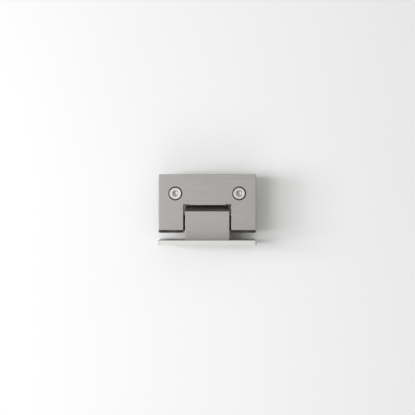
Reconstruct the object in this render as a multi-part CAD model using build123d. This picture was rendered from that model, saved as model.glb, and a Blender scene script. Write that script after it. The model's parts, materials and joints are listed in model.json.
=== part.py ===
from build123d import *
import os
from math import hypot

# Glass shower door hinge, wall to glass, open either way. Sizes are in millimetres.
# X runs along the pivot, Y from the wall to the glass and Z out of the screw face.
# The origin is the middle of the wall plate's back face.

# Wall plate
wall_plate_length = 90.0
wall_plate_height = 55.0
wall_plate_thickness = 4.5
wall_plate_corner = 1.2
wall_screw_spacing_x = 68.0
wall_screw_spacing_z = 34.0
wall_screw_hole = 6.5
wall_screw_countersink = 12.5

# Glass and the clamp that grips it
glass_thickness = 10.0
gasket_thickness = 1.0
clamp_plate_thickness = 7.5
clamp_length = 90.0
clamp_depth = 54.0
clamp_corner = 1.2
leg_past_pivot = 9.0
end_bevel = 2.6
edge_break = 0.35
swing_clearance = 0.56
notch_corner = 1.0
notch_clearance = 0.2
notch_land_width = 34.0
notch_land_depth = 0.8
notch_land_corner = 0.35

# Knuckle block
knuckle_width = 41.0
knuckle_past_pivot = 13.4

# Black buffer strip in the knuckle's end, with a lower shoulder at each side
buffer_width = 31.0
buffer_height = 11.0
buffer_groove_depth = 2.0
buffer_end_gap = 0.3
buffer_rounding = 1.4
buffer_side_clearance = 0.05
shoulder_inset = 0.4
shoulder_height = 7.0
shoulder_rounding = 0.5

# Pivot
spindle_diameter = 10.0
spindle_end_gap = 0.5
spindle_flat_depth = 0.7
spindle_flats_length = 21.4
running_clearance = 0.05
bush_diameter = 14.0
bush_length = 9.0
bush_seat_clearance = 0.02
washer_diameter = 14.0
washer_thickness = 1.5
washer_end_clearance = 0.075

# Lugs on the back clamp plate and their set screws
lug_width = 9.0
lug_past_pivot = 8.0
lug_above_spindle = 3.0
lug_corner = 3.0
lug_clearance = 0.6
set_screw_diameter = 5.0
set_screw_length = 4.0
set_screw_socket = 2.5
set_screw_socket_depth = 2.0
set_screw_flat_depth = 0.5
set_screw_spot_width = 6.0

# Clamp screws, tapped posts and sleeves
clamp_screw_spacing = 59.0
clamp_screw_from_edge = 17.6
clamp_screw_diameter = 6.0
clamp_screw_head = 11.0
clamp_screw_head_height = 3.6
clamp_screw_socket = 4.0
clamp_screw_socket_depth = 2.4
clamp_screw_tip_depth = 3.0
counterbore_clearance = 0.75
head_recess = 0.3
post_diameter = 11.0
post_top_gap = 2.5
post_hole_floor = 2.5
sleeve_clearance = 0.2
sleeve_wall = 1.6
sleeve_end_clearance = 0.05

# Gaskets
gasket_inset = 1.5
gasket_hole_clearance = 0.3
gasket_notch_margin = 0.8
gasket_tab_width = 32.6
gasket_tab_corner = 0.9
gasket_tab_past_notch = 0.45

# Plungers and springs
plunger_diameter = 9.0
plunger_spacing = 11.0
plunger_length = 6.45
plunger_cup_wall = 1.0
plunger_cup_floor = 3.0
plunger_nose_chamfer = 0.5
spring_wire_width = 1.3
spring_wire_height = 1.0
spring_turns = 3.7
spring_side_clearance = 0.2

# Knuckle screws
knuckle_screw_spacing_x = 29.0
knuckle_screw_spacing_z = 18.4
knuckle_screw_diameter = 5.0
knuckle_screw_head = 9.6
knuckle_screw_length = 13.0
knuckle_screw_socket = 3.0
knuckle_screw_socket_depth = 1.8
knuckle_tap_extra = 1.5

# Clearances that holes share
screw_hole_clearance = 0.3
thread_clearance = 0.05
countersink_recess = 0.1
small_chamfer = 0.5

# How near to a place an edge or corner counts as lying on it
pick_within = 0.01

# Places that follow from the sizes
slot_half = glass_thickness / 2 + gasket_thickness
half_thickness = slot_half + clamp_plate_thickness
half_knuckle = knuckle_width / 2
notch_half = half_knuckle + washer_thickness + 2 * washer_end_clearance


def swept_radius(reach):
    # Farthest point from the pivot of a bevelled end that reaches this far past it.
    return max(hypot(reach - end_bevel, half_thickness), hypot(reach, half_thickness - end_bevel))


pivot_y = wall_plate_thickness + swept_radius(leg_past_pivot) + swing_clearance
leg_end_y = pivot_y - leg_past_pivot
far_y = leg_end_y + clamp_depth
notch_y = pivot_y + swept_radius(knuckle_past_pivot) + notch_clearance
knuckle_end_y = pivot_y + knuckle_past_pivot
land_y = notch_y - notch_land_depth
groove_floor_y = knuckle_end_y - buffer_groove_depth
clamp_screw_y = far_y - clamp_screw_from_edge
clamp_screw_x = clamp_screw_spacing / 2

bore_radius = bush_diameter / 2 + bush_seat_clearance
spindle_radius = spindle_diameter / 2
lug_outer_x = notch_half + lug_width
lug_far_y = pivot_y + lug_past_pivot
lug_top_z = spindle_radius + lug_above_spindle
lug_middle_x = notch_half + lug_width / 2
plunger_nose_y = pivot_y - spindle_radius - running_clearance
sleeve_inner = post_diameter / 2 + sleeve_clearance
sleeve_outer = sleeve_inner + sleeve_wall
gasket_hole = sleeve_outer + gasket_hole_clearance
cut_past = 1.0
through = clamp_length + wall_plate_length


def rod(axis, radius, start, end, at=(0, 0)):
    # A round bar along one axis, from start to end; at gives its other two coordinates in X, Y, Z order.
    bar = Cylinder(radius, end - start)
    middle = (start + end) / 2
    if axis == "X":
        return Pos(middle, at[0], at[1]) * Rot(0, 90, 0) * bar
    if axis == "Y":
        return Pos(at[0], middle, at[1]) * Rot(90, 0, 0) * bar
    return Pos(at[0], at[1], middle) * bar


def countersink(mouth_radius, tip_radius, mouth_y, towards):
    # A 90 degree cone round the Y axis that narrows from its mouth in the given direction.
    depth = mouth_radius - tip_radius
    cone = Cone(mouth_radius, tip_radius, depth)
    turn = -90 if towards > 0 else 90
    return Pos(0, mouth_y + towards * depth / 2, 0) * Rot(turn, 0, 0) * cone


def corners(spacing_x, spacing_z):
    # The four places of a rectangular screw pattern in the XZ plane.
    return [Pos(x * spacing_x / 2, 0, z * spacing_z / 2) for x in (-1, 1) for z in (-1, 1)]


def group(pieces):
    # One compound of separate solids.
    return Compound(children=[solid for piece in pieces for solid in piece.solids()])


def end_wedge(y, outwards, side):
    # The corner that a 45 degree bevel takes off an end at this Y, on the side of +Z or -Z.
    inner_y = y - outwards * end_bevel
    outer_y = y + outwards * cut_past
    low_z = side * (half_thickness - end_bevel)
    high_z = side * (half_thickness + cut_past)
    bevel_start = (inner_y, side * half_thickness)
    profile = Polyline(
        (inner_y, high_z), bevel_start, (y, low_z), (outer_y, low_z), (outer_y, high_z), close=True
    )
    face = make_face(Plane.YZ * profile)
    return extrude(face, amount=through, both=True)


# Wall side

def wall_plate():
    # Flat plate with rounded upright corners, broken edges and eight countersunk holes.
    outline = RectangleRounded(wall_plate_length, wall_plate_height, wall_plate_corner)
    plate = Pos(0, wall_plate_thickness, 0) * Rot(90, 0, 0) * extrude(outline, wall_plate_thickness)
    rims = plate.edges().filter_by(lambda e: abs(e.center().Y - wall_plate_thickness) < pick_within)
    plate = fillet(rims, edge_break)
    wall_hole = rod("Y", wall_screw_hole / 2, -cut_past, wall_plate_thickness + cut_past)
    wall_hole += countersink(wall_screw_countersink / 2, wall_screw_hole / 2, wall_plate_thickness, -1)
    for place in corners(wall_screw_spacing_x, wall_screw_spacing_z):
        plate -= place * wall_hole
    shank_hole = knuckle_screw_diameter / 2 + screw_hole_clearance
    block_hole = rod("Y", shank_hole, -cut_past, wall_plate_thickness + cut_past)
    block_hole += countersink(knuckle_screw_head / 2 + screw_hole_clearance, shank_hole, 0, 1)
    for place in corners(knuckle_screw_spacing_x, knuckle_screw_spacing_z):
        plate -= place * block_hole
    return plate


def knuckle_block():
    # Square block on the wall plate, bored for the spindle and drilled from behind for plungers and screws.
    length = knuckle_end_y - wall_plate_thickness
    middle_y = (knuckle_end_y + wall_plate_thickness) / 2
    block = Pos(0, middle_y, 0) * Box(knuckle_width, length, 2 * half_thickness)
    for side in (-1, 1):
        block -= end_wedge(knuckle_end_y, 1, side)
    outer = block.edges().filter_by(lambda e: e.center().Y > wall_plate_thickness + pick_within)
    block = fillet(outer, edge_break)
    block -= rod("X", bore_radius, -through, through, (pivot_y, 0))
    plunger_bore = rod("Y", plunger_diameter / 2 + running_clearance, 0, pivot_y)
    for side in (-1, 1):
        block -= Pos(side * plunger_spacing / 2, 0, 0) * plunger_bore
    tap_end_y = knuckle_screw_length + knuckle_tap_extra
    tap = rod("Y", knuckle_screw_diameter / 2 + thread_clearance, 0, tap_end_y)
    for place in corners(knuckle_screw_spacing_x, knuckle_screw_spacing_z):
        block -= place * tap
    groove_width = buffer_width + 2 * buffer_side_clearance
    groove_height = buffer_height + 2 * buffer_side_clearance
    groove_end_y = knuckle_end_y + cut_past
    groove = Box(groove_width, groove_end_y - groove_floor_y, groove_height)
    return block - Pos(0, (groove_floor_y + groove_end_y) / 2, 0) * groove


def knuckle_buffer():
    # Black strip pressed into the groove of the knuckle's end, rounded where it stands out.
    end_y = land_y - buffer_end_gap
    strip = Box(buffer_width, end_y - groove_floor_y, buffer_height)
    strip = Pos(0, (groove_floor_y + end_y) / 2, 0) * strip
    exposed = strip.edges().filter_by(lambda e: e.center().Y > groove_floor_y + pick_within)
    strip = fillet(exposed, buffer_rounding)
    # The shoulders lie on the knuckle's end and close the gap beside the strip.
    start_y = knuckle_end_y + buffer_side_clearance
    shoulders = Box(knuckle_width - 2 * shoulder_inset, end_y - start_y, shoulder_height)
    shoulders = Pos(0, (start_y + end_y) / 2, 0) * shoulders
    return strip + fillet(shoulders.edges(), shoulder_rounding)


def knuckle_screws():
    # Four countersunk socket screws, put in from the back of the wall plate.
    head = countersink(knuckle_screw_head / 2, knuckle_screw_diameter / 2, countersink_recess, 1)
    shank = rod("Y", knuckle_screw_diameter / 2, countersink_recess, knuckle_screw_length)
    tip = shank.edges().sort_by(Axis.Y)[-1]
    screw = head + chamfer(tip, small_chamfer)
    hexagon = RegularPolygon(knuckle_screw_socket / 2, 6, major_radius=False)
    screw -= Rot(-90, 0, 0) * extrude(hexagon, countersink_recess + knuckle_screw_socket_depth)
    return group([place * screw for place in corners(knuckle_screw_spacing_x, knuckle_screw_spacing_z)])


def bush(side):
    # Plain bush pressed into one end of the knuckle's bore.
    start = half_knuckle - bush_length
    sleeve = rod("X", bush_diameter / 2, start, half_knuckle, (pivot_y, 0))
    leading_rim = sleeve.edges().filter_by(GeomType.CIRCLE).sort_by(Axis.X)[0]
    sleeve = chamfer(leading_rim, small_chamfer)
    sleeve -= rod("X", spindle_radius + running_clearance, 0, through, (pivot_y, 0))
    return sleeve if side > 0 else mirror(sleeve, about=Plane.YZ)


def thrust_washer(side):
    # Plastic washer between the knuckle's side and the lug.
    start = half_knuckle + washer_end_clearance
    end = start + washer_thickness
    disc = rod("X", washer_diameter / 2, start, end, (pivot_y, 0))
    disc = chamfer(disc.edges().filter_by(GeomType.CIRCLE), small_chamfer / 2)
    disc -= rod("X", spindle_radius + 2 * running_clearance, 0, through, (pivot_y, 0))
    return disc if side > 0 else mirror(disc, about=Plane.YZ)


# Detent inside the knuckle, drawn with the plungers just clear of the spindle's round

def plunger(side):
    # Cup that slides along Y; its closed nose presses on the spindle's flats.
    back_y = plunger_nose_y - plunger_length
    cup_end_y = plunger_nose_y - plunger_cup_floor
    cup = rod("Y", plunger_diameter / 2, back_y, plunger_nose_y)
    cup = chamfer(cup.edges().sort_by(Axis.Y)[-1], plunger_nose_chamfer)
    cup -= rod("Y", plunger_diameter / 2 - plunger_cup_wall, back_y - cut_past, cup_end_y)
    return Pos(side * plunger_spacing / 2, 0, 0) * cup


def spring(side):
    # Die spring of flat wire with ground ends, from the wall plate to the floor of the plunger's cup.
    start = wall_plate_thickness
    length = plunger_nose_y - plunger_cup_floor - start
    radius = plunger_diameter / 2 - plunger_cup_wall - spring_side_clearance - spring_wire_width / 2
    path = Helix(length / spring_turns, length + 2 * spring_wire_height, radius)
    across = Plane(origin=path @ 0, x_dir=(1, 0, 0), z_dir=path % 0)
    coil = sweep(across * Rectangle(spring_wire_width, spring_wire_height), path=path, is_frenet=True)
    coil = Pos(0, 0, -spring_wire_height) * coil
    coil &= Pos(0, 0, length / 2) * Cylinder(plunger_diameter, length)
    return Pos(side * plunger_spacing / 2, start, 0) * Rot(-90, 0, 0) * coil


# Glass side

def pivot_spindle():
    # Round pin with four flats in the middle and one small flat at each end for its set screw.
    half_length = lug_outer_x - spindle_end_gap
    pin = rod("X", spindle_radius, -half_length, half_length, (pivot_y, 0))
    pin = chamfer(pin.edges().filter_by(GeomType.CIRCLE), small_chamfer)
    depth = 2 * spindle_flat_depth
    flat = Pos(0, 0, spindle_radius) * Box(spindle_flats_length, spindle_diameter, depth)
    for turn in (0, 90, 180, 270):
        pin -= Pos(0, pivot_y, 0) * Rot(turn, 0, 0) * flat
    spot = Box(set_screw_spot_width, 2 * set_screw_flat_depth, spindle_diameter)
    for side in (-1, 1):
        pin -= Pos(side * lug_middle_x, pivot_y - spindle_radius, 0) * spot
    return pin


def spindle_set_screws():
    # Two headless screws along Y that lock the spindle in the lugs.
    tip_y = pivot_y - spindle_radius + set_screw_flat_depth
    screw = rod("Y", set_screw_diameter / 2, tip_y - set_screw_length, tip_y)
    screw = chamfer(screw.edges().sort_by(Axis.Y)[-1], small_chamfer)
    hexagon = RegularPolygon(set_screw_socket / 2, 6, major_radius=False)
    socket = extrude(hexagon, set_screw_socket_depth)
    screw -= Pos(0, tip_y - set_screw_length, 0) * Rot(-90, 0, 0) * socket
    return group([Pos(side * lug_middle_x, 0, 0) * screw for side in (-1, 1)])


def clamp_outline(inset=0.0, notch_margin=0.0):
    # The clamp seen from the front: a rounded plate with a notch for the knuckle.
    middle_y = (leg_end_y + far_y) / 2
    blank = RectangleRounded(clamp_length - 2 * inset, clamp_depth - 2 * inset, clamp_corner)
    notch_depth = 2 * (notch_y + notch_margin - leg_end_y)
    notch = RectangleRounded(2 * (notch_half + notch_margin), notch_depth, notch_corner)
    return Pos(0, middle_y) * blank - Pos(0, leg_end_y) * notch


def with_land(outline):
    # Adds the low land in the middle of the notch's end, between the relieved corners.
    height = clamp_screw_y - land_y
    outline += Pos(0, land_y + height / 2) * Rectangle(notch_land_width, height)
    steps = outline.vertices().filter_by(lambda v: abs(abs(v.X) - notch_land_width / 2) < pick_within)
    return fillet(steps, notch_land_corner)


def clamp_plate(side):
    # One plate of the clamp, with bevelled leg ends and broken edges on its outer face.
    plate = extrude(with_land(clamp_outline()), clamp_plate_thickness)
    plate = Pos(0, 0, slot_half) * plate if side > 0 else Pos(0, 0, -half_thickness) * plate
    plate -= end_wedge(leg_end_y, -1, side)
    outer_face = plate.faces().sort_by(Axis.Z)[-1 if side > 0 else 0]
    return fillet(outer_face.outer_wire().edges(), edge_break)


def front_clamp_plate():
    # Outer plate with the counterbored screw holes and pockets over the lugs.
    plate = clamp_plate(1)
    hole = rod("Z", clamp_screw_diameter / 2 + screw_hole_clearance, 0, through)
    depth = clamp_screw_head_height + head_recess
    hole += rod("Z", clamp_screw_head / 2 + counterbore_clearance, half_thickness - depth, through)
    pocket = lug_blank(lug_clearance)
    for side in (-1, 1):
        plate -= Pos(side * clamp_screw_x, clamp_screw_y, 0) * hole
        plate -= pocket if side > 0 else mirror(pocket, about=Plane.YZ)
    return plate


def lug_blank(clearance=0.0):
    # Block at the inner side of the right leg that carries the spindle's end, round at its far end.
    inner_x = notch_half - clearance
    outer_x = lug_outer_x + clearance
    width = outer_x - inner_x
    low_y = leg_end_y - clearance
    high_y = lug_far_y + clearance
    outline = Pos((inner_x + outer_x) / 2, (low_y + high_y) / 2) * Rectangle(width, high_y - low_y)
    outline = fillet(outline.vertices().group_by(Axis.Y)[-1].sort_by(Axis.X)[-1], lug_corner)
    return Pos(0, 0, -slot_half) * extrude(outline, lug_top_z + clearance + slot_half)


def back_clamp_plate():
    # Inner plate with two lugs for the spindle and two tapped posts for the clamp screws.
    plate = clamp_plate(-1)
    lug = lug_blank()
    lug -= rod("X", spindle_radius + thread_clearance / 2, 0, through, (pivot_y, 0))
    lug -= rod("Y", set_screw_diameter / 2 + thread_clearance, 0, pivot_y, (lug_middle_x, 0))
    post = rod("Z", post_diameter / 2, -slot_half - cut_past, slot_half - post_top_gap)
    post = chamfer(post.edges().sort_by(Axis.Z)[-1], small_chamfer)
    tap = rod("Z", clamp_screw_diameter / 2 + thread_clearance, post_hole_floor - half_thickness, slot_half)
    for side in (-1, 1):
        plate += lug if side > 0 else mirror(lug, about=Plane.YZ)
        plate += Pos(side * clamp_screw_x, clamp_screw_y, 0) * post
        plate -= Pos(side * clamp_screw_x, clamp_screw_y, 0) * tap
    return plate


def clamp_gasket(side):
    # Rubber sheet between plate and glass, open round the lugs and sleeves, with a tab at the notch.
    outline = clamp_outline(gasket_inset, gasket_notch_margin)
    tab_low = notch_y - gasket_tab_past_notch
    tab_high = clamp_screw_y
    tab = RectangleRounded(gasket_tab_width, tab_high - tab_low, gasket_tab_corner)
    outline += Pos(0, (tab_low + tab_high) / 2) * tab
    for x_side in (-1, 1):
        outline -= Pos(x_side * clamp_screw_x, clamp_screw_y) * Circle(gasket_hole)
    sheet = extrude(outline, gasket_thickness)
    low_z = slot_half - gasket_thickness if side > 0 else -slot_half
    sheet = Pos(0, 0, low_z) * sheet
    pocket = lug_blank(lug_clearance)
    return sheet - pocket - mirror(pocket, about=Plane.YZ)


def clamp_screws():
    # Two low-head socket screws from the front into the posts.
    top_z = half_thickness - head_recess
    under_z = top_z - clamp_screw_head_height
    tip_z = -slot_half - clamp_screw_tip_depth
    head = rod("Z", clamp_screw_head / 2, under_z, top_z)
    head = fillet(head.edges().sort_by(Axis.Z)[-1], edge_break)
    shank = rod("Z", clamp_screw_diameter / 2, tip_z, under_z)
    shank = chamfer(shank.edges().sort_by(Axis.Z)[0], small_chamfer)
    hexagon = RegularPolygon(clamp_screw_socket / 2, 6, major_radius=False)
    socket = Pos(0, 0, top_z - clamp_screw_socket_depth) * extrude(hexagon, clamp_screw_socket_depth)
    screw = head + shank - socket
    return group([Pos(side * clamp_screw_x, clamp_screw_y, 0) * screw for side in (-1, 1)])


def screw_sleeve(side):
    # Plastic tube round a post that keeps the metal off the glass.
    length = 2 * (slot_half - sleeve_end_clearance)
    tube = Cylinder(sleeve_outer, length) - Cylinder(sleeve_inner, length)
    return Pos(side * clamp_screw_x, clamp_screw_y, 0) * tube


def build():
    nodes = {
        "wall_plate": wall_plate(),
        "knuckle_block": knuckle_block(),
        "knuckle_buffer": knuckle_buffer(),
        "knuckle_screws": knuckle_screws(),
        "pivot_spindle": pivot_spindle(),
        "spindle_set_screws": spindle_set_screws(),
        "front_clamp_plate": front_clamp_plate(),
        "back_clamp_plate": back_clamp_plate(),
        "front_gasket": clamp_gasket(1),
        "back_gasket": clamp_gasket(-1),
        "clamp_screws": clamp_screws(),
    }
    for word, side in (("left", -1), ("right", 1)):
        nodes[word + "_bush"] = bush(side)
        nodes[word + "_thrust_washer"] = thrust_washer(side)
        nodes[word + "_plunger"] = plunger(side)
        nodes[word + "_spring"] = spring(side)
        nodes[word + "_screw_sleeve"] = screw_sleeve(side)
    os.makedirs("parts", exist_ok=True)
    for name, shape in nodes.items():
        export_step(shape, "parts/" + name + ".step")
    print(len(nodes), "nodes; pivot at Y", round(pivot_y, 2), "far edge at Y", round(far_y, 2))


build()
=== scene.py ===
import json
from math import cos, pi, radians, sin

import bpy
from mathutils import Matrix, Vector

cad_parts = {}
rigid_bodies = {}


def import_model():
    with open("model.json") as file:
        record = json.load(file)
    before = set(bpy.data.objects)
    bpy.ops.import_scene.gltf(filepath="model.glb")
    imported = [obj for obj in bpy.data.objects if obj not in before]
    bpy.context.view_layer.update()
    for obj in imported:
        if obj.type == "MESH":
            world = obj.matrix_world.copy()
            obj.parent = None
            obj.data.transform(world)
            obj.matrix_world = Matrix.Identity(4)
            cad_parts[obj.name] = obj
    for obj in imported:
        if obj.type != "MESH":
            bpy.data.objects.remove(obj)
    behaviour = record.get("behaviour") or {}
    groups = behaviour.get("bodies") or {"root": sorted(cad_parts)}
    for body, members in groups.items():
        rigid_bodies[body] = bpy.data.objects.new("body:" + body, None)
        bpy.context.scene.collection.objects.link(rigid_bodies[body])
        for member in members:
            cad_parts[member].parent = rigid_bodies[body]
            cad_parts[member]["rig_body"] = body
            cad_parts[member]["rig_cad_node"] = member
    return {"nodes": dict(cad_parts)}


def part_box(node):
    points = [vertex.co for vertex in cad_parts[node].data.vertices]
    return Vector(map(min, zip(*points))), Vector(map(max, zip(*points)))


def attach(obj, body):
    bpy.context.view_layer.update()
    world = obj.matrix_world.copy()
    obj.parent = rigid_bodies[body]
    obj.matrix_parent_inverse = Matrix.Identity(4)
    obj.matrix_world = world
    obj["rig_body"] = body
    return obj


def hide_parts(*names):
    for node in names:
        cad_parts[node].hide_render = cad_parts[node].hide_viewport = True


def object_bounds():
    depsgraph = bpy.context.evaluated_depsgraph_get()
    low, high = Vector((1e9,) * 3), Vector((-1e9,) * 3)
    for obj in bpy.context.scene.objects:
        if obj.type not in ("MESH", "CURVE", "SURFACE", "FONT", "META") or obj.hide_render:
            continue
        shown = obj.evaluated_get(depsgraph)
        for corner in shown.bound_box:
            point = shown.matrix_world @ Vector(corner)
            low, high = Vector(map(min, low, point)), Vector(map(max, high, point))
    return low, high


# Glass shower door hinge in brushed nickel, lying under a camera that looks straight down on its screw face.
# Blender units are metres; the hinge's sizes are in millimetres and go through mm.

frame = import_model()
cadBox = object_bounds()
nodes = frame["nodes"]
mm = 0.001

bpy.ops.object.select_all(action="DESELECT")
scene = bpy.context.scene
scene.view_settings.view_transform = "Standard"
print("frame loaded:", len(nodes), "CAD nodes")


# Small helpers for selecting, copying and finishing

def onlySelect(obj):
    bpy.ops.object.select_all(action="DESELECT")
    obj.select_set(True)
    bpy.context.view_layer.objects.active = obj


def renameNew(name):
    obj = bpy.context.object
    obj.name = name
    obj.data.name = name
    return obj


def editMode():
    bpy.ops.object.mode_set(mode="EDIT")


def objectMode():
    bpy.ops.object.mode_set(mode="OBJECT")


def pickFaces(obj, test):
    # leaves edit mode open with only the faces selected whose centre and normal pass the test
    onlySelect(obj)
    editMode()
    bpy.ops.mesh.select_mode(type="FACE")
    bpy.ops.mesh.select_all(action="DESELECT")
    objectMode()
    for face in obj.data.polygons:
        face.select = test(face.center, face.normal)
    editMode()


def applyPlace(obj):
    onlySelect(obj)
    bpy.ops.object.transform_apply(location=True, rotation=True, scale=True)


def applyModifier(obj, kind, **settings):
    onlySelect(obj)
    modifier = obj.modifiers.new(kind.lower(), kind)
    for key, value in settings.items():
        setattr(modifier, key, value)
    bpy.ops.object.modifier_apply(modifier=modifier.name)


def cutWith(obj, tool):
    applyModifier(obj, "BOOLEAN", operation="DIFFERENCE", solver="EXACT", object=tool)
    bpy.data.objects.remove(tool)


def uniteWith(obj, other):
    applyModifier(obj, "BOOLEAN", operation="UNION", solver="EXACT", object=other)
    bpy.data.objects.remove(other)


def joinAll(pieces, name):
    bpy.ops.object.select_all(action="DESELECT")
    for piece in pieces:
        piece.select_set(True)
    bpy.context.view_layer.objects.active = pieces[0]
    bpy.ops.object.join()
    return renameNew(name)


def copyTo(obj, places, name, turn=None):
    # one object that holds a copy of the mesh at each place
    copies = []
    for place in places:
        onlySelect(obj)
        bpy.ops.object.duplicate()
        copy = bpy.context.object
        copy.location = place
        if turn:
            copy.rotation_euler = turn
        applyPlace(copy)
        copies.append(copy)
    bpy.data.objects.remove(obj)
    return joinAll(copies, name)


def smoothByAngle(obj, degrees=35):
    onlySelect(obj)
    bpy.ops.object.shade_smooth_by_angle(angle=radians(degrees))


# Material building

noiseForm = {
    "detail": 3.0,
    "cloudDetail": 2.0,
    "roughness": 0.6,
    "low": 0.3,  # most values of a noise lie between low and high
    "high": 0.7,
}


def newMaterial(name):
    material = bpy.data.materials.new(name)
    material.use_nodes = True
    tree = material.node_tree
    shader = tree.nodes["Principled BSDF"]
    return material, tree, shader


def node(tree, kind, **settings):
    made = tree.nodes.new("ShaderNode" + kind)
    for key, value in settings.items():
        setattr(made, key, value)
    return made


def setInputs(made, values):
    for key, value in values.items():
        made.inputs[key].default_value = value
    return made


def noiseAlong(tree, source, stretch, detail=noiseForm["detail"]):
    # noise on object coordinates, stretched by the given scale along X, Y and Z
    mapping = setInputs(node(tree, "Mapping"), {"Scale": stretch})
    tree.links.new(source, mapping.inputs["Vector"])
    settings = {"Scale": 1.0, "Detail": detail, "Roughness": noiseForm["roughness"]}
    noise = setInputs(node(tree, "TexNoise"), settings)
    tree.links.new(mapping.outputs["Vector"], noise.inputs["Vector"])
    return noise.outputs["Fac"]


def cloudNoise(tree, source, scale):
    # soft blotches, as long as they are wide
    return noiseAlong(tree, source, (scale,) * 3, noiseForm["cloudDetail"])


def mathNode(tree, operation, first, second=None):
    made = node(tree, "Math", operation=operation)
    for index, value in enumerate((first, second)):
        if value is None:
            continue
        if isinstance(value, (int, float)):
            made.inputs[index].default_value = value
        else:
            tree.links.new(value, made.inputs[index])
    return made.outputs[0]


def weightedSum(tree, *parts):
    # adds the values up, each times its share
    total = None
    for value, share in parts:
        part = mathNode(tree, "MULTIPLY", value, share)
        total = part if total is None else mathNode(tree, "ADD", total, part)
    return total


def typedSocket(sockets, name, kind):
    # a Mix node has sockets of the same name for each kind of data
    return [socket for socket in sockets if socket.name == name and socket.type == kind][0]


def mixNode(tree, dataType, kind, factor, first, second):
    made = node(tree, "Mix", data_type=dataType)
    tree.links.new(factor, made.inputs["Factor"])
    for name, source in (("A", first), ("B", second)):
        tree.links.new(source, typedSocket(made.inputs, name, kind))
    return typedSocket(made.outputs, "Result", kind)


def mixNumbers(tree, factor, first, second):
    return mixNode(tree, "FLOAT", "VALUE", factor, first, second)


def mixVectors(tree, factor, first, second):
    return mixNode(tree, "VECTOR", "VECTOR", factor, first, second)


def mixColours(tree, factor, first, second):
    return mixNode(tree, "RGBA", "RGBA", factor, first, second)


def spread(tree, value, low, high):
    # maps the usual values of a noise on to low to high
    settings = {"From Min": noiseForm["low"], "From Max": noiseForm["high"], "To Min": low, "To Max": high}
    made = setInputs(node(tree, "MapRange"), settings)
    tree.links.new(value, made.inputs["Value"])
    return made.outputs["Result"]


def ramp(tree, value, low, high):
    made = node(tree, "ValToRGB")
    made.color_ramp.elements[0].color = (*low, 1.0)
    made.color_ramp.elements[0].position = noiseForm["low"]
    made.color_ramp.elements[1].color = (*high, 1.0)
    made.color_ramp.elements[1].position = noiseForm["high"]
    tree.links.new(value, made.inputs["Fac"])
    return made.outputs["Color"]


def paintPart(tree, colour, mask, tone, look, part):
    # lays a part's own dark and light over the colour where the mask is 1
    return mixColours(tree, mask, colour, ramp(tree, tone, look[part + "Dark"], look[part + "Light"]))


def splitVector(tree, source):
    split = node(tree, "SeparateXYZ")
    tree.links.new(source, split.inputs["Vector"])
    return split.outputs


def pastZero(tree, value, least):
    # 1 where the value is further from zero than least
    return mathNode(tree, "GREATER_THAN", mathNode(tree, "ABSOLUTE", value), least)


def bothPast(tree, first, second, least):
    return mathNode(tree, "MULTIPLY", pastZero(tree, first, least), pastZero(tree, second, least))


def beyond(tree, source, limits):
    # 1 where a place is further from the middle than the limits across X or Z
    parts = splitVector(tree, source)
    overX = pastZero(tree, parts["X"], limits[0])
    overZ = pastZero(tree, parts["Z"], limits[1])
    return mathNode(tree, "MAXIMUM", overX, overZ)


def ringRadius(tree, source, axis, middles):
    # distance from the nearest screw axis; middles says how far from zero the screws stand across the axis
    parts = splitVector(tree, source)
    squares = []
    for coordinate, middle in zip([c for c in "XYZ" if c != axis], middles):
        offset = mathNode(tree, "SUBTRACT", mathNode(tree, "ABSOLUTE", parts[coordinate]), middle)
        squares.append(mathNode(tree, "MULTIPLY", offset, offset))
    return mathNode(tree, "SQRT", mathNode(tree, "ADD", *squares))


def bumpFrom(tree, shader, height, strength, distance):
    bump = setInputs(node(tree, "Bump"), {"Strength": strength, "Distance": distance})
    tree.links.new(height, bump.inputs["Height"])
    tree.links.new(bump.outputs["Normal"], shader.inputs["Normal"])


# Brushed nickel: fine grain along the pivot, turned to run along Y on the two end faces

nickelLook = {
    "dark": (0.458, 0.442, 0.431),
    "light": (0.565, 0.548, 0.536),
    # bevel colours: painted shade on the 45° bevels at the leg ends and the knuckle's far end, darker because
    # they face shaded walls
    "bevelDark": (0.268, 0.256, 0.245),
    "bevelLight": (0.310, 0.297, 0.285),
    # corner colours: painted shade on the rounded corners along Y, darker to hold back the lamps' highlight
    "cornerDark": (0.210, 0.203, 0.197),
    "cornerLight": (0.260, 0.252, 0.245),
    "cornerRough": 0.48,
    "endLean": 0.75,  # the least part of a face's normal along an axis that counts
    "bevelLean": 0.5,
    "cornerLean": 0.25,
    "roughLow": 0.29,
    "roughHigh": 0.37,
    "anisotropy": 0.75,
    "fineAcross": 5200.0,  # noise scales, per metre
    "fineAlong": 90.0,
    "coarseAcross": 1100.0,
    "coarseAlong": 22.0,
    "bandAcross": 330.0,
    "bandAlong": 7.0,
    "cloud": 34.0,
    "fineShare": 0.6,  # fine and coarse make the grain
    "coarseShare": 0.4,
    "grainShare": 0.5,  # grain, band and cloud make the tone
    "bandShare": 0.3,
    "cloudShare": 0.2,
    "bump": 0.07,
    "bumpDepth": 0.03 * mm,
}


def brushStreaks(tree, spot, endFace, across, along):
    # streaks along X, and along Y on the end faces
    alongX = noiseAlong(tree, spot, (along, across, across))
    alongY = noiseAlong(tree, spot, (across, along, across))
    return mixNumbers(tree, endFace, alongX, alongY)


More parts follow.
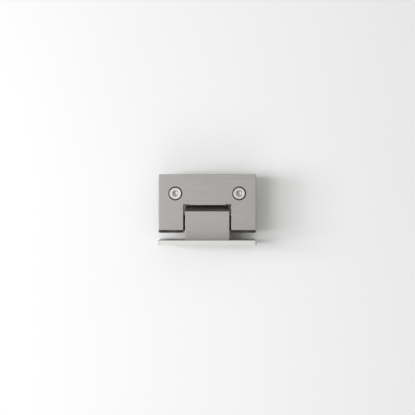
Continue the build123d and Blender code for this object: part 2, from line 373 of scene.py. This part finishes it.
def brushedNickel(name, look):
    material, tree, shader = newMaterial(name)
    place = node(tree, "TexCoord")
    spot = place.outputs["Object"]
    facing = splitVector(tree, place.outputs["Normal"])
    endFace = pastZero(tree, facing["X"], look["endLean"])
    bevel = bothPast(tree, facing["Y"], facing["Z"], look["bevelLean"])
    corner = bothPast(tree, facing["X"], facing["Z"], look["cornerLean"])
    if "rimBeyond" in look:
        # only the outline turns these ways, the walls of the holes stay plain
        onRim = beyond(tree, spot, look["rimBeyond"])
        edge = pastZero(tree, facing["Z"], look["edgeLean"])
        endFace, bevel, edge, corner = [mathNode(tree, "MULTIPLY", mask, onRim)
                                        for mask in (endFace, bevel, edge, corner)]
    fine = brushStreaks(tree, spot, endFace, look["fineAcross"], look["fineAlong"])
    coarse = brushStreaks(tree, spot, endFace, look["coarseAcross"], look["coarseAlong"])
    band = brushStreaks(tree, spot, endFace, look["bandAcross"], look["bandAlong"])
    cloud = cloudNoise(tree, spot, look["cloud"])
    grain = weightedSum(tree, (fine, look["fineShare"]), (coarse, look["coarseShare"]))
    tone = weightedSum(tree, (grain, look["grainShare"]), (band, look["bandShare"]),
                       (cloud, look["cloudShare"]))
    colour = ramp(tree, tone, look["dark"], look["light"])
    # painted shade: the bevels are darkened to stand for the shaded walls they face
    colour = paintPart(tree, colour, bevel, tone, look, "bevel")
    if "rimBeyond" in look:
        colour = paintPart(tree, colour, edge, tone, look, "edge")
    # the rounded corners that run along Y are rougher, and their colour is darkened as painted shade that
    # holds back the lamps' highlight on them
    colour = paintPart(tree, colour, corner, tone, look, "corner")
    # painted shade: the counterbore ring round each screw is coloured near black
    if "boreRadius" in look:
        inBoreShade = mathNode(tree, "LESS_THAN", ringRadius(tree, spot, "Z", look["boreAt"]), look["boreRadius"])
        colour = paintPart(tree, colour, inBoreShade, tone, look, "bore")
    tree.links.new(colour, shader.inputs["Base Color"])
    rough = spread(tree, grain, look["roughLow"], look["roughHigh"])
    cornerRough = mathNode(tree, "MULTIPLY", corner, look["cornerRough"])
    tree.links.new(mathNode(tree, "MAXIMUM", rough, cornerRough), shader.inputs["Roughness"])
    # reflections spread across the grain and stay tight along it
    setInputs(shader, {"Metallic": 1.0, "Anisotropic": look["anisotropy"]})
    aroundX = node(tree, "Tangent", direction_type="RADIAL", axis="X")
    aroundY = node(tree, "Tangent", direction_type="RADIAL", axis="Y")
    around = mixVectors(tree, endFace, aroundX.outputs["Tangent"], aroundY.outputs["Tangent"])
    tree.links.new(around, shader.inputs["Tangent"])
    bumpFrom(tree, shader, grain, look["bump"], look["bumpDepth"])
    return material


# the wall plate's long edges are left brighter than its faces
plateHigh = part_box("wall_plate")[1]
rimWidth = 1.3 * mm
plateLook = dict(
    nickelLook,
    rimBeyond=(plateHigh.x - rimWidth, plateHigh.z - rimWidth),
    edgeLean=0.75,
    edgeDark=(0.85, 0.845, 0.83),
    edgeLight=(0.91, 0.905, 0.89),
    # the plate's rounded corners get painted shade too, darker than its edges to hold back the lamps' glare
    cornerDark=(0.66, 0.657, 0.647),
    cornerLight=(0.74, 0.737, 0.727),
    cornerRough=0.95,
    cornerLean=0.06,
)

# painted shade in the front plate's counterbores: a near-black ring round each screw head, where the recess
# lies in shadow
screwLow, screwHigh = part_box("clamp_screws")
screwHeadRadius = (screwHigh.y - screwLow.y) / 2
shadeRingWidth = 0.92 * mm
frontLook = dict(
    nickelLook,
    boreAt=(screwHigh.x - screwHeadRadius, (screwLow.y + screwHigh.y) / 2),
    boreRadius=screwHeadRadius + shadeRingWidth,
    boreDark=(0.014, 0.013, 0.012),
    boreLight=(0.026, 0.024, 0.023),
)


# Turned steel: rings round each screw's own axis, given by where the screws stand

screwLook = {
    "dark": (0.44, 0.430, 0.420),
    "light": (0.60, 0.590, 0.580),
    "dishRadius": 3.10 * mm,
    "dishDark": (0.34, 0.332, 0.324),
    "dishLight": (0.50, 0.490, 0.480),
    "socketRadius": 2.15 * mm,
    "socketDark": (0.34, 0.336, 0.330),
    "socketLight": (0.50, 0.495, 0.488),
    # the head's rounded rim is painted near black: painted shade that widens the dark ring between the head
    # and its counterbore
    "rimRadius": 5.30 * mm,
    "rimDark": (0.030, 0.030, 0.029),
    "rimLight": (0.060, 0.060, 0.058),
    "roughLow": 0.38,
    "roughHigh": 0.50,
    "ringPitch": 0.16 * mm,
    "speckle": 1600.0,
    "bump": 0.03,
    "bumpDepth": 0.01 * mm,
}


def turnedSteel(name, look, axis, middles):
    material, tree, shader = newMaterial(name)
    spot = node(tree, "TexCoord").outputs["Object"]
    radius = ringRadius(tree, spot, axis, middles)
    rings = mathNode(tree, "SINE", mathNode(tree, "MULTIPLY", radius, 2 * pi / look["ringPitch"]))
    grain = noiseAlong(tree, spot, (look["speckle"],) * 3)
    inDish = mathNode(tree, "LESS_THAN", radius, look["dishRadius"])
    inSocket = mathNode(tree, "LESS_THAN", radius, look["socketRadius"])
    onRim = mathNode(tree, "GREATER_THAN", radius, look["rimRadius"])
    colour = ramp(tree, grain, look["dark"], look["light"])
    # the rim's near-black colour is painted shade
    for mask, part in ((inDish, "dish"), (inSocket, "socket"), (onRim, "rim")):
        colour = paintPart(tree, colour, mask, grain, look, part)
    tree.links.new(colour, shader.inputs["Base Color"])
    tree.links.new(spread(tree, grain, look["roughLow"], look["roughHigh"]), shader.inputs["Roughness"])
    setInputs(shader, {"Metallic": 1.0})
    bumpFrom(tree, shader, rings, look["bump"], look["bumpDepth"])
    return material


# Speckled finishes: rubber, plastics and the hidden steels

speckledForm = {
    "cloudSize": 40,  # how much larger the clouds are than the speckle
    "grainShare": 0.5,
    "cloudShare": 0.5,
    "bumpDepth": 0.02 * mm,
}
speckledLooks = {
    "gasketRubber": {
        "dark": (0.010, 0.010, 0.012), "light": (0.022, 0.021, 0.024),
        "rough": (0.28, 0.42), "speckle": 2600.0, "bump": 0.12,
    },
    "bufferPlastic": {
        "dark": (0.004, 0.004, 0.005), "light": (0.010, 0.010, 0.012),
        "rough": (0.22, 0.34), "speckle": 2200.0, "bump": 0.06,
        "sockets": {"Specular IOR Level": 0.25},
    },
    "blackAcetal": {
        "dark": (0.020, 0.019, 0.018), "light": (0.035, 0.034, 0.032),
        "rough": (0.34, 0.46), "speckle": 1800.0, "bump": 0.10,
    },
    "sleevePlastic": {
        "dark": (0.78, 0.78, 0.75), "light": (0.86, 0.86, 0.83),
        "rough": (0.35, 0.48), "speckle": 900.0, "bump": 0.06,
        "sockets": {"Subsurface Weight": 0.25, "Subsurface Scale": 0.8 * mm},
    },
    "springSteel": {
        "dark": (0.40, 0.40, 0.42), "light": (0.52, 0.52, 0.54),
        "rough": (0.25, 0.38), "speckle": 2200.0, "bump": 0.10,
        "sockets": {"Metallic": 1.0},
    },
    "groundSteel": {
        "dark": (0.56, 0.56, 0.57), "light": (0.66, 0.66, 0.67),
        "rough": (0.20, 0.32), "speckle": 3000.0, "bump": 0.08,
        "sockets": {"Metallic": 1.0},
    },
}


def speckledFinish(name, look, form):
    material, tree, shader = newMaterial(name)
    spot = node(tree, "TexCoord").outputs["Object"]
    grain = noiseAlong(tree, spot, (look["speckle"],) * 3)
    cloud = cloudNoise(tree, spot, look["speckle"] / form["cloudSize"])
    tone = weightedSum(tree, (grain, form["grainShare"]), (cloud, form["cloudShare"]))
    tree.links.new(ramp(tree, tone, look["dark"], look["light"]), shader.inputs["Base Color"])
    tree.links.new(spread(tree, cloud, *look["rough"]), shader.inputs["Roughness"])
    setInputs(shader, look.get("sockets", {}))
    bumpFrom(tree, shader, grain, look["bump"], form["bumpDepth"])
    return material


nickel = brushedNickel("brushedNickel", nickelLook)
plateNickel = brushedNickel("plateNickel", plateLook)
frontNickel = brushedNickel("frontNickel", frontLook)
finishes = {name: speckledFinish(name, look, speckledForm) for name, look in speckledLooks.items()}
print("materials made")

materialOfNode = {
    "front_clamp_plate": frontNickel,
    "back_clamp_plate": nickel,
    "knuckle_block": nickel,
    "wall_plate": plateNickel,
    "front_gasket": finishes["gasketRubber"],
    "back_gasket": finishes["gasketRubber"],
    "knuckle_buffer": finishes["bufferPlastic"],
    "left_thrust_washer": finishes["blackAcetal"],
    "right_thrust_washer": finishes["blackAcetal"],
    "left_bush": finishes["blackAcetal"],
    "right_bush": finishes["blackAcetal"],
    "left_screw_sleeve": finishes["sleevePlastic"],
    "right_screw_sleeve": finishes["sleevePlastic"],
    "left_spring": finishes["springSteel"],
    "right_spring": finishes["springSteel"],
    "pivot_spindle": finishes["groundSteel"],
    "left_plunger": finishes["groundSteel"],
    "right_plunger": finishes["groundSteel"],
}
for nodeName, material in materialOfNode.items():
    for materialSlot in nodes[nodeName].material_slots:
        materialSlot.material = material
print("CAD nodes dressed")


# Screws: a turned head with a hexagon socket, and a shank with a real thread

screwForm = {
    "headSides": 96,
    "coneSides": 64,
    "mouthSides": 48,
    "coreSides": 40,
    "threadSteps": 24,
    "rimSegments": 4,
    "tipSegments": 2,
    "ridgeSize": 0.5,  # in pitches, like the rise
    "ridgeRise": 0.45,
    "socketFloorRim": 0.15,  # in socket radii
    "drillDepth": 0.12,  # in widths across the flats
    "drillTip": 0.25,
    "squareOn": 0.99,
    "nearAxis": 0.1 * mm,
}


def threadRidge(d, low, length):
    # a triangle that points outwards, swept up a helix by the screw modifier, its two ends closed
    radius = screwForm["ridgeSize"] * d["pitch"]
    triangleHeight = 1.5 * radius  # its corners stand on a circle of that radius
    depth = d["majorRadius"] - d["coreRadius"] + d["rootOverlap"]
    squeeze = depth / triangleHeight
    bpy.ops.mesh.primitive_circle_add(vertices=3, radius=radius, rotation=(radians(90), radians(90), 0))
    ridge = bpy.context.object
    applyPlace(ridge)
    ridge.scale = (squeeze, 1, 1)
    ridge.location = (d["majorRadius"] - radius * squeeze, 0, low + screwForm["ridgeRise"] * d["pitch"])
    applyPlace(ridge)
    applyModifier(ridge, "SCREW", axis="Z", screw_offset=d["pitch"], iterations=int(length / d["pitch"]),
                  steps=screwForm["threadSteps"], render_steps=screwForm["threadSteps"])
    onlySelect(ridge)
    editMode()
    bpy.ops.mesh.select_all(action="SELECT")
    bpy.ops.mesh.fill_holes(sides=3)
    bpy.ops.mesh.normals_make_consistent(inside=False)
    objectMode()
    return ridge


def hexSocket(d, top):
    # a hexagonal punch with a drill point at its bottom and a cone for the chamfer round its mouth
    radius = d["socketAcross"] / 2 / cos(radians(30))
    tip = screwForm["drillTip"]
    bpy.ops.mesh.primitive_cylinder_add(vertices=6, radius=radius, depth=2 * d["socketDepth"],
                                        location=(0, 0, top))
    punch = bpy.context.object
    applyPlace(punch)
    pickFaces(punch, lambda centre, normal: normal.z < -screwForm["squareOn"])
    bpy.ops.mesh.inset(thickness=radius * screwForm["socketFloorRim"])
    bpy.ops.mesh.extrude_region()
    bpy.ops.transform.translate(value=(0, 0, -screwForm["drillDepth"] * d["socketAcross"]))
    bpy.ops.transform.resize(value=(tip, tip, 1), center_override=(0, 0, 0))
    objectMode()
    wide, reach = radius + d["mouthChamfer"], 2 * d["mouthChamfer"]
    bpy.ops.mesh.primitive_cone_add(vertices=screwForm["mouthSides"], radius1=wide - reach,
                                    radius2=wide + reach, depth=2 * reach, location=(0, 0, top))
    mouth = bpy.context.object
    applyPlace(mouth)
    uniteWith(punch, mouth)
    return punch


def faceSteps(obj, steps):
    # rings turned into the face that looks up Z: each step goes in by a width and moves by a height
    def isTop(centre, normal):
        return normal.z > screwForm["squareOn"] and centre.xy.length < screwForm["nearAxis"]

    pickFaces(obj, isTop)
    for width, rise in steps:
        bpy.ops.mesh.inset(thickness=width)
        bpy.ops.transform.translate(value=(0, 0, rise))
    objectMode()


def threadedShank(d, top, tip, neck):
    # a core with a chamfered tip and a ridge wound round all of it but the neck
    bpy.ops.mesh.primitive_cylinder_add(vertices=screwForm["coreSides"], radius=d["coreRadius"],
                                        depth=top - tip, location=(0, 0, (top + tip) / 2))
    core = bpy.context.object
    applyPlace(core)
    applyModifier(core, "BEVEL", width=d["tipChamfer"], segments=screwForm["tipSegments"],
                  limit_method="ANGLE")
    uniteWith(core, threadRidge(d, tip + d["tipChamfer"], top - tip - neck - 2 * d["tipChamfer"]))
    return core


def dressScrews(obj, materialName, look, axis, middles, body, replaced):
    smoothByAngle(obj)
    applyModifier(obj, "WEIGHTED_NORMAL", keep_sharp=True)
    obj.data.materials.clear()
    obj.data.materials.append(turnedSteel(materialName, look, axis, middles))
    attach(obj, body)
    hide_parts(replaced)


clampScrew = {
    "headHeight": 3.6 * mm,
    "rimEdge": 0.35 * mm,
    "faceSteps": (  # in by, then up by
        (0.75 * mm, 0),
        (0.12 * mm, -0.03 * mm),
        (0.12 * mm, 0.03 * mm),
        (0.96 * mm, 0),
        (0.1 * mm, -0.04 * mm),
    ),
    "socketAcross": 4.0 * mm,
    "socketDepth": 2.2 * mm,
    "mouthChamfer": 0.18 * mm,
    "shankDown": 0.7 * mm,  # from the head's middle to the shank's top
    "coreRadius": 2.55 * mm,
    "majorRadius": 2.97 * mm,
    "pitch": 1.0 * mm,
    "rootOverlap": 0.12 * mm,
    "tipChamfer": 0.4 * mm,
    "neck": 3.0 * mm,
}


def makeClampScrews(d):
    low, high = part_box("clamp_screws")
    headRadius = (high.y - low.y) / 2
    centreX, centreY = high.x - headRadius, (low.y + high.y) / 2
    headMiddle = high.z - d["headHeight"] / 2
    bpy.ops.mesh.primitive_cylinder_add(vertices=screwForm["headSides"], radius=headRadius,
                                        depth=d["headHeight"], location=(0, 0, headMiddle))
    screw = bpy.context.object
    applyPlace(screw)
    applyModifier(screw, "BEVEL", width=d["rimEdge"], segments=screwForm["rimSegments"], limit_method="ANGLE")
    faceSteps(screw, d["faceSteps"])
    cutWith(screw, hexSocket(d, high.z))
    uniteWith(screw, threadedShank(d, headMiddle - d["shankDown"], low.z, d["neck"]))
    places = [(side * centreX, centreY, 0) for side in (-1, 1)]
    screws = copyTo(screw, places, "clampScrews")
    dressScrews(screws, "clampScrewSteel", screwLook, "Z", (centreX, centreY), "glass_clamp", "clamp_screws")


makeClampScrews(clampScrew)
print("clamp screws made")


knuckleScrew = {
    "headRadius": 4.8 * mm,
    "faceSteps": ((0.3 * mm, 0), (0.5 * mm, -0.04 * mm), (1.1 * mm, 0)),
    "socketAcross": 3.0 * mm,
    "socketDepth": 1.7 * mm,
    "mouthChamfer": 0.15 * mm,
    "shankInHead": 0.3 * mm,
    "coreRadius": 2.1 * mm,
    "majorRadius": 2.47 * mm,
    "pitch": 0.8 * mm,
    "rootOverlap": 0.1 * mm,
    "tipChamfer": 0.35 * mm,
    "neck": 3.2 * mm,
}


def makeKnuckleScrews(d):
    # built pointing up Z, then laid over so that the head faces the wall
    low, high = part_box("knuckle_screws")
    centreX, centreZ = high.x - d["headRadius"], high.z - d["headRadius"]
    coneDepth = d["headRadius"] - d["majorRadius"]
    bpy.ops.mesh.primitive_cone_add(vertices=screwForm["coneSides"], radius1=d["majorRadius"],
                                    radius2=d["headRadius"], depth=coneDepth, location=(0, 0, -coneDepth / 2))
    screw = bpy.context.object
    applyPlace(screw)
    faceSteps(screw, d["faceSteps"])
    cutWith(screw, hexSocket(d, 0.0))
    uniteWith(screw, threadedShank(d, -coneDepth + d["shankInHead"], low.y - high.y, d["neck"] - coneDepth))
    places = [(x * centreX, low.y, z * centreZ) for x in (-1, 1) for z in (-1, 1)]
    screws = copyTo(screw, places, "knuckleScrews", turn=(radians(90), 0, 0))
    middles = (centreX, centreZ)
    dressScrews(screws, "knuckleScrewSteel", screwLook, "Y", middles, "wall_leaf", "knuckle_screws")


makeKnuckleScrews(knuckleScrew)
print("knuckle screws made")


setScrew = {
    "socketAcross": 2.5 * mm,
    "socketDepth": 1.8 * mm,
    "mouthChamfer": 0.1 * mm,
    "coreRadius": 2.1 * mm,
    "majorRadius": 2.47 * mm,
    "pitch": 0.8 * mm,
    "rootOverlap": 0.1 * mm,
    "tipChamfer": 0.3 * mm,
}
blackenedLook = dict(
    screwLook,
    dark=(0.10, 0.10, 0.105),
    light=(0.16, 0.16, 0.165),
    dishRadius=0.0,
    socketDark=(0.06, 0.06, 0.062),
    socketLight=(0.10, 0.10, 0.103),
)


def makeSetScrews(d):
    # headless screws with the socket towards the wall plate
    low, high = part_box("spindle_set_screws")
    centreX = high.x - (high.z - low.z) / 2
    screw = threadedShank(d, 0.0, low.y - high.y, 0.0)
    cutWith(screw, hexSocket(d, 0.0))
    places = [(side * centreX, low.y, 0) for side in (-1, 1)]
    screws = copyTo(screw, places, "spindleSetScrews", turn=(radians(90), 0, 0))
    middles = (centreX, 0.0)
    dressScrews(screws, "setScrewSteel", blackenedLook, "Y", middles, "glass_clamp", "spindle_set_screws")


makeSetScrews(setScrew)
print("set screws made")


# Gaskets: the sheet's outline with the rounded edges of a moulding

gasket = {
    "edgeRadius": 0.3 * mm,
    "edgeSegments": 3,
    "mergeWithin": 0.002 * mm,
    "flatWithin": radians(1),
}


def makeGasket(nodeName, name, d):
    onlySelect(nodes[nodeName])
    bpy.ops.object.duplicate()
    sheet = renameNew(name)
    for key in ("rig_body", "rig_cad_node"):  # the copy is a new piece and no CAD node
        del sheet[key]
    sheet.parent = None
    onlySelect(sheet)
    editMode()
    bpy.ops.mesh.select_all(action="SELECT")
    bpy.ops.mesh.remove_doubles(threshold=d["mergeWithin"])
    bpy.ops.mesh.normals_make_consistent(inside=False)
    bpy.ops.mesh.dissolve_limited(angle_limit=d["flatWithin"])
    objectMode()
    applyModifier(sheet, "BEVEL", width=d["edgeRadius"], segments=d["edgeSegments"], limit_method="ANGLE")
    smoothByAngle(sheet)
    sheet.data.materials.clear()
    sheet.data.materials.append(finishes["gasketRubber"])
    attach(sheet, "glass_clamp")
    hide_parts(nodeName)


makeGasket("front_gasket", "frontGasket", gasket)
makeGasket("back_gasket", "backGasket", gasket)
print("gaskets made")


# Floor, light and camera

studio = {
    "floorColour": (0.885, 0.895, 0.895),
    "floorClouds": (0.99, 1.01),  # darkest and lightest, as shares of the colour
    "floorCloudScale": 2.5,
    "floorRough": 0.75,
    "floorShine": 0.2,
    "floorSize": 6.0,  # metres, like the lamps' sizes and distance
    "skyTop": (0.815, 0.806, 0.792),
    "skyEdge": (0.145, 0.143, 0.138),
    "skyClimb": 2.0,
    "aim": (0, 30 * mm, 0),
    "keyDistance": 1.6,
    "keys": {
        "keyHigh": {"azimuth": 181.0, "elevation": 68.5, "width": 0.36, "height": 0.40, "power": 4.9},
        "keyMiddle": {"azimuth": 179.0, "elevation": 51.0, "width": 0.36, "height": 0.65, "power": 5.0},
        "keyLow": {"azimuth": 181.5, "elevation": 35.0, "width": 0.60, "height": 0.60, "power": 8.4},
        "fillFront": {"azimuth": 262.0, "elevation": 40.0, "width": 0.80, "height": 0.60, "power": 1.9},
    },
    "keyColour": (1.0, 1.0, 1.0),
}


def makeFloor(d):
    bpy.ops.mesh.primitive_plane_add(size=d["floorSize"], location=(0, 0, cadBox[0].z))
    floor = renameNew("floor")
    material, tree, shader = newMaterial("paleFloor")
    cloud = cloudNoise(tree, node(tree, "TexCoord").outputs["Object"], d["floorCloudScale"])
    low, high = [[share * part for part in d["floorColour"]] for share in d["floorClouds"]]
    tree.links.new(ramp(tree, cloud, low, high), shader.inputs["Base Color"])
    setInputs(shader, {"Roughness": d["floorRough"], "Specular IOR Level": d["floorShine"]})
    floor.data.materials.append(material)


def makeKey(name, d, key):
    # a wide soft box that looks at the hinge's middle
    around, up = radians(key["azimuth"]), radians(key["elevation"])
    offset = Vector((cos(around) * cos(up), sin(around) * cos(up), sin(up))) * d["keyDistance"]
    bpy.ops.object.light_add(type="AREA", location=Vector(d["aim"]) + offset)
    lamp = bpy.context.object
    lamp.name = name
    lamp.data.shape = "RECTANGLE"
    lamp.data.size, lamp.data.size_y = key["width"], key["height"]
    lamp.data.energy = key["power"]
    lamp.data.color = d["keyColour"]
    lamp.rotation_euler = (-offset).to_track_quat("-Z", "Y").to_euler()


def makeWorld(d):
    # a sky that climbs from the dim edge to the light top
    world = bpy.data.worlds.new("softRoom")
    scene.world = world
    world.use_nodes = True
    tree = world.node_tree
    direction = splitVector(tree, node(tree, "TexCoord").outputs["Generated"])
    height = mathNode(tree, "MAXIMUM", direction["Z"], 0.0)
    climb = node(tree, "ValToRGB")
    climb.color_ramp.elements[0].color = (*d["skyEdge"], 1.0)
    climb.color_ramp.elements[1].color = (*d["skyTop"], 1.0)
    tree.links.new(mathNode(tree, "POWER", height, d["skyClimb"]), climb.inputs["Fac"])
    tree.links.new(climb.outputs["Color"], tree.nodes["Background"].inputs["Color"])


view = {
    "x": 0.2 * mm,
    "y": 34.4 * mm,
    "height": 1000 * mm,  # from the clamp's front face up to the lens
    "width": 383.4 * mm,  # what the picture shows of that face's plane
    "sensor": 36.0,
    "nearClip": 0.01,
}


def makeCamera(d):
    # square over the clamp's front face
    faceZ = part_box("front_clamp_plate")[1].z
    bpy.ops.object.camera_add(location=(d["x"], d["y"], faceZ + d["height"]), rotation=(0, 0, 0))
    camera = bpy.context.object
    camera.name = "photoCamera"
    camera.data.sensor_width = d["sensor"]
    camera.data.lens = d["sensor"] * d["height"] / d["width"]
    camera.data.clip_start = d["nearClip"]
    scene.camera = camera


makeFloor(studio)
for keyName, key in studio["keys"].items():
    makeKey(keyName, studio, key)
makeWorld(studio)
makeCamera(view)
print("floor, light and camera made")
